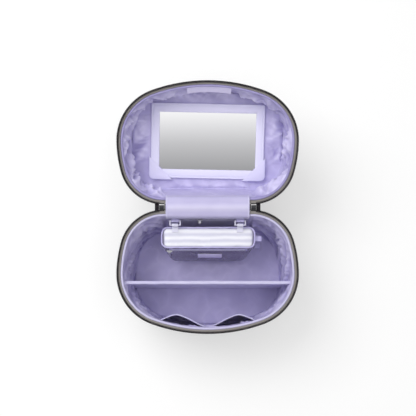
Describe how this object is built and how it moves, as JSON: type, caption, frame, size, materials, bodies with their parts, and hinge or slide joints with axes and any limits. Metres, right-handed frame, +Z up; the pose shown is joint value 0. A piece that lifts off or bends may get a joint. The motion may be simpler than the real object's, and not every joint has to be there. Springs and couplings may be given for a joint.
{
  "type": "vanity case",
  "caption": "Oval hard-shell vanity case, open, with padded lining, mirror in the lid, divider, pockets and a clear hanging pouch.",
  "frame": {"origin": "on the floor under the middle of the base's footprint, on its flat underside", "axes": "+Z up, +Y from the front towards the hinge, +X to the right seen from the front"},
  "size_m": [0.34, 0.4718, 0.2368],
  "materials": {
    "shell": "fine moulded grain",
    "trim": "satin",
    "zip_tape": "woven",
    "zip_coil": "satin",
    "lining": "fine plain weave nylon",
    "binding": "woven tape",
    "elastic": "gathered",
    "label": "satin, bare",
    "webbing": "woven",
    "clear_film": "soft clear film",
    "leatherette": "fine grain",
    "mirror_glass": "polished",
    "board": "board",
    "metal": "satin plated",
    "pull": "moulded soft pull",
    "handle": "fine grain"
  },
  "bodies": {
    "base": {"base_shell": "shell", "base_rim": "trim", "base_zip_tape": "zip_tape", "base_zip_coil": "zip_coil", "base_lining": "lining", "base_binding": "binding", "base_floor_pad": "lining", "divider_panel": "lining", "divider_binding": "binding", "front_pockets": "lining", "front_pocket_elastic": "elastic", "rear_pocket": "lining", "rear_zip_tape": "lining", "rear_zip_teeth": "metal", "pouch_tabs": "webbing", "tab_rings": "metal", "main_sliders": "metal"},
    "lid": {"lid_shell": "shell", "lid_rim": "trim", "lid_zip_tape": "zip_tape", "lid_zip_coil": "zip_coil", "lid_lining": "lining", "lid_binding": "binding", "lid_label": "label", "handle_grip": "handle", "handle_mounts": "shell", "handle_screws": "metal", "mirror_pockets": "lining", "hinge_strip": "zip_tape", "hinge_cover": "lining"},
    "mirror": {"mirror_back": "board", "mirror_glass": "mirror_glass", "mirror_frame": "leatherette"},
    "rear_slider": {"rear_slider": "metal"},
    "rear_pull": {"rear_pull": "pull"},
    "pouch": {"pouch_body": "clear_film", "pouch_piping": "webbing", "pouch_zip_tape": "webbing", "pouch_zip_teeth": "elastic", "pouch_label": "label", "pouch_loops": "webbing", "pouch_hooks": "metal"},
    "pouch_slider": {"pouch_slider": "metal"},
    "main_pull_left": {"main_pull_left": "metal"},
    "main_pull_right": {"main_pull_right": "metal"}
  },
  "joints": [
    {"name": "lid_hinge", "type": "hinge", "parent": "base", "child": "lid", "pos_m": [0, 0.12, 0.157], "axis": [1, 0, 0], "range_deg": [0, 160], "deforming": ["hinge_strip", "hinge_cover"]},
    {"name": "mirror_slide", "type": "slide", "parent": "lid", "child": "mirror", "axis": [0.0209, 0.9395, 0.3419], "range_m": [0, 0.004]},
    {"name": "rear_zip_slide", "type": "slide", "parent": "base", "child": "rear_slider", "axis": [1, 0, 0], "range_m": [-0.044, 0.074]},
    {"name": "rear_pull_hinge", "type": "hinge", "parent": "rear_slider", "child": "rear_pull", "pos_m": [-0.015, 0.09613, 0.122], "axis": [0, 1, 0], "range_deg": [-60, 60]},
    {"name": "pouch_lift", "type": "slide", "parent": "base", "child": "pouch", "axis": [0, 0, 1], "range_m": [0, 0.055]},
    {"name": "pouch_zip_slide", "type": "slide", "parent": "pouch", "child": "pouch_slider", "axis": [1, 0, 0], "range_m": [0, 0.148]},
    {"name": "main_pull_left_hinge", "type": "hinge", "parent": "base", "child": "main_pull_left", "pos_m": [-0.08659, 0.12, 0.1509], "axis": [0, 1, 0], "range_deg": [-35, 35]},
    {"name": "main_pull_right_hinge", "type": "hinge", "parent": "base", "child": "main_pull_right", "pos_m": [0.08659, 0.12, 0.1509], "axis": [0, 1, 0], "range_deg": [-35, 35]}
  ]
}
